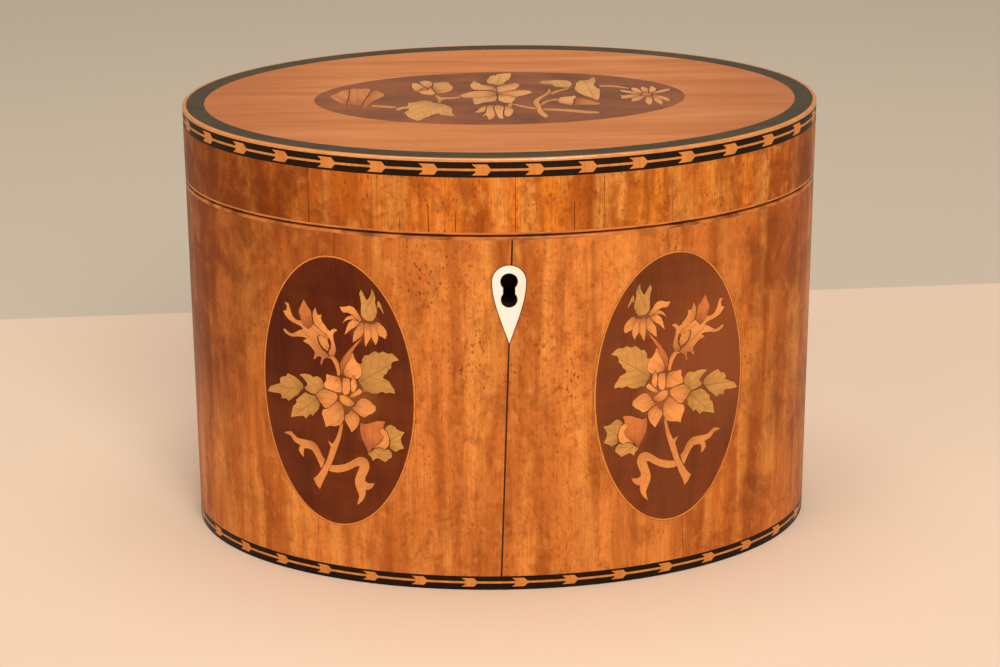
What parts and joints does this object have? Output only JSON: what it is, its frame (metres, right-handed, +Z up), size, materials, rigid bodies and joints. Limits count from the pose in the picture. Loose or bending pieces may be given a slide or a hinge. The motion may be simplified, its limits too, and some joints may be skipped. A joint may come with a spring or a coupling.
{
  "type": "tea caddy",
  "caption": "Oval veneered tea caddy with a hinged lid, feather banding, floral marquetry ovals, a bone keyhole escutcheon, a box lock and a lift-out inner cover.",
  "frame": {"origin": "centre of the underside, on the surface it stands on", "axes": "+X along the long axis to the viewer's right, -Y out of the front with the keyhole, +Z up"},
  "size_m": [0.152, 0.1064, 0.1057],
  "materials": {
    "satinwood": "French-polished satinwood veneer, orange-gold and mottled",
    "top_satinwood": "French-polished satinwood veneer, paler and plainer",
    "oval_ground": "dark brown stained wood under polish",
    "top_ground": "faded purple-brown wood under polish",
    "flower_wood": "orange fruitwood, edges scorched in hot sand",
    "shaded_wood": "redder wood, shaded in hot sand",
    "leaf_wood": "olive-gold dyed holly",
    "stem_wood": "orange fruitwood",
    "boxwood": "boxwood stringing, aged under polish",
    "feather_wood": "satinwood feathers and line",
    "ebony": "ebony, polished",
    "border_wood": "green-black stained wood, polished",
    "carcass_wood": "bare pine, planed and darkened",
    "mahogany": "mahogany, oiled",
    "rosewood": "dark turned wood, polished",
    "bone": "polished bone",
    "brass": "aged brass",
    "oiled_iron": "sheet iron, brown with oil and rust",
    "steel": "blued spring steel",
    "tin_foil": "dull tin foil, rubbed down",
    "baize": "green baize",
    "lining_paper": "thin faded lining"
  },
  "bodies": {
    "body": {"base_baize": "baize", "base_board": "carcass_wood", "body_veneer": "satinwood", "carcass_wall": "carcass_wood", "cover_ledge": "mahogany", "escutcheon": "bone", "foil_floor": "tin_foil", "foil_wall": "tin_foil", "foot_banding_feathers": "feather_wood", "foot_banding_ground": "ebony", "foot_stringing": "ebony", "hinge_body_leaf": "brass", "hinge_body_screws": "brass", "hinge_pin": "brass", "left_panel_ground": "oval_ground", "left_panel_stringing": "boxwood", "left_spray_flower": "flower_wood", "left_spray_leaf": "leaf_wood", "left_spray_shaded": "shaded_wood", "left_spray_stem": "stem_wood", "lock_case": "oiled_iron", "lock_key_pin": "oiled_iron", "lock_plate": "brass", "lock_screws": "brass", "lock_spring": "steel", "right_panel_ground": "oval_ground", "right_panel_stringing": "boxwood", "right_spray_flower": "flower_wood", "right_spray_leaf": "leaf_wood", "right_spray_shaded": "shaded_wood", "right_spray_stem": "stem_wood", "rim_edging": "boxwood", "rim_facing": "mahogany"},
    "lid": {"hinge_lid_leaf": "brass", "hinge_lid_screws": "brass", "lid_banding_feathers": "feather_wood", "lid_banding_ground": "ebony", "lid_board": "carcass_wood", "lid_border": "border_wood", "lid_edge_stringing": "boxwood", "lid_lining": "lining_paper", "lid_lining_wall": "lining_paper", "lid_lower_edging": "boxwood", "lid_rim_facing": "mahogany", "lid_side_veneer": "satinwood", "lid_top_veneer": "top_satinwood", "lid_wall": "carcass_wood", "link_plate": "brass", "link_screws": "brass", "top_ground": "top_ground", "top_spray_flower": "flower_wood", "top_spray_leaf": "leaf_wood", "top_spray_shaded": "shaded_wood", "top_spray_stem": "stem_wood"},
    "bolt": {"lock_bolt": "brass"},
    "inner_cover": {"cover_board": "mahogany", "cover_border": "rosewood", "cover_knob": "rosewood", "cover_veneer": "satinwood"}
  },
  "joints": [
    {"name": "lid_hinge", "type": "hinge", "parent": "body", "child": "lid", "pos_m": [0, 0.0529, 0.08765], "axis": [-1, 0, 0], "range_deg": [0, 95]},
    {"name": "lock_bolt_slide", "type": "slide", "parent": "body", "child": "bolt", "axis": [1, 0, 0], "range_m": [0, 0.0034]},
    {"name": "inner_cover_lift", "type": "slide", "parent": "body", "child": "inner_cover", "axis": [0, 0, 1], "range_m": [0, 0.011]}
  ]
}
